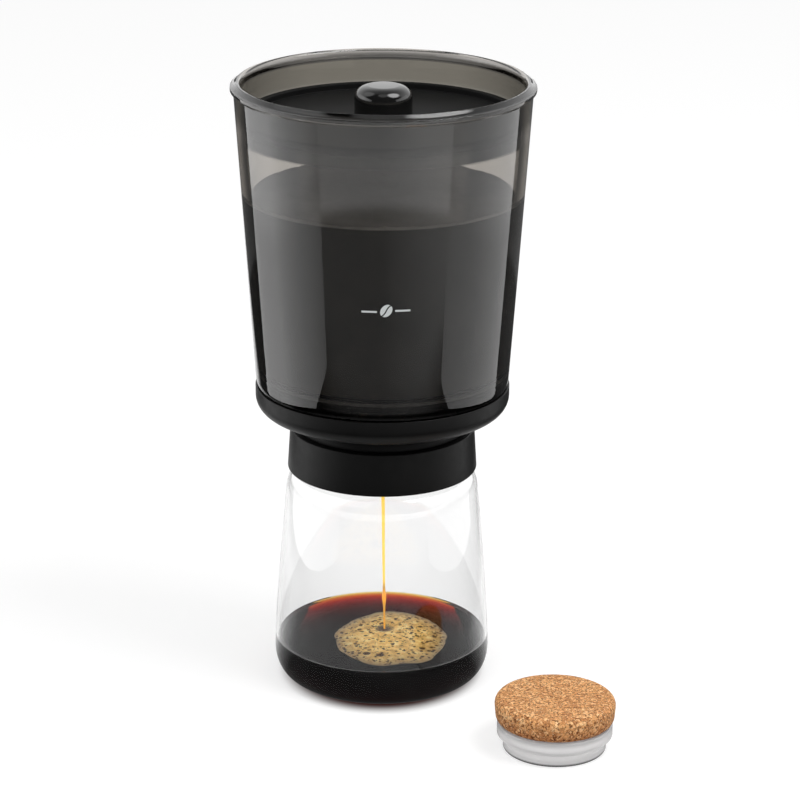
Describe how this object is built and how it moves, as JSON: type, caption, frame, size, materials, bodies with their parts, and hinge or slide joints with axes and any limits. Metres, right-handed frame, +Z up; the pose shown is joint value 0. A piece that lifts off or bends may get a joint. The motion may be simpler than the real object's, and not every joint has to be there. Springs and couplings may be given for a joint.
{
  "type": "cold brew coffee maker",
  "caption": "Cold brew coffee maker: a tinted tapered brewing container with lid, filter and drain valve stands on a glass carafe, with the carafe's cork stopper beside it.",
  "frame": {"origin": "centre of the glass carafe's flat bottom, on the surface that it stands on", "axes": "+Z up along the axis that the carafe and the brewing container share, +X to the right of the pictured front, -Y towards the viewer"},
  "size_m": [0.1825, 0.1919, 0.298],
  "materials": {
    "clear_glass": "clear, polished",
    "smoke_tint": "smoke-tinted clear plastic, polished",
    "satin_black": "satin",
    "gloss_black": "gloss",
    "grey_silicone": "soft matt",
    "clear_silicone": "translucent, satin",
    "stainless_steel": "plain drawn",
    "cork": "pressed cork granules, matt",
    "white_plastic": "satin"
  },
  "bodies": {
    "carafe": {"carafe_glass": "clear_glass"},
    "brewer": {"container": "smoke_tint", "base_cup": "satin_black", "collar": "satin_black", "drain_body": "satin_black", "drain_nut": "satin_black", "floor_gasket": "grey_silicone", "seat_gasket": "grey_silicone", "valve_spring": "stainless_steel"},
    "valve": {"valve_stem": "satin_black", "valve_seal": "grey_silicone", "valve_spider": "satin_black", "stem_clip": "stainless_steel"},
    "filter": {"filter_frame": "satin_black", "filter_mesh": "stainless_steel", "filter_clamp_ring": "satin_black", "filter_gasket": "grey_silicone"},
    "spreader": {"water_spreader": "satin_black"},
    "lid_group": {"lid": "satin_black", "lid_knob": "gloss_black", "knob_screw": "stainless_steel"},
    "stopper": {"stopper_cork": "cork", "stopper_seal": "clear_silicone", "stopper_core": "white_plastic"}
  },
  "joints": [
    {"name": "brewer_lift", "type": "slide", "parent": "carafe", "child": "brewer", "axis": [0, 0, 1], "range_m": [0, 0.08]},
    {"name": "valve_close", "type": "slide", "parent": "brewer", "child": "valve", "axis": [0, 0, 1], "range_m": [-0.004, 0], "deforming": ["valve_spring"]},
    {"name": "filter_lift", "type": "slide", "parent": "brewer", "child": "filter", "axis": [0, 0, 1], "range_m": [0, 0.17]},
    {"name": "spreader_lift", "type": "slide", "parent": "filter", "child": "spreader", "axis": [0, 0, 1], "range_m": [0, 0.05]},
    {"name": "lid_lift", "type": "slide", "parent": "spreader", "child": "lid_group", "axis": [0, 0, 1], "range_m": [0, 0.05]},
    {"name": "stopper_lift", "type": "slide", "parent": "carafe", "child": "stopper", "axis": [0, 0, 1], "range_m": [0, 0.06]}
  ],
  "couplings": [
    {"joint": "valve_close", "follows": "brewer_lift", "ratio": -0.05}
  ]
}
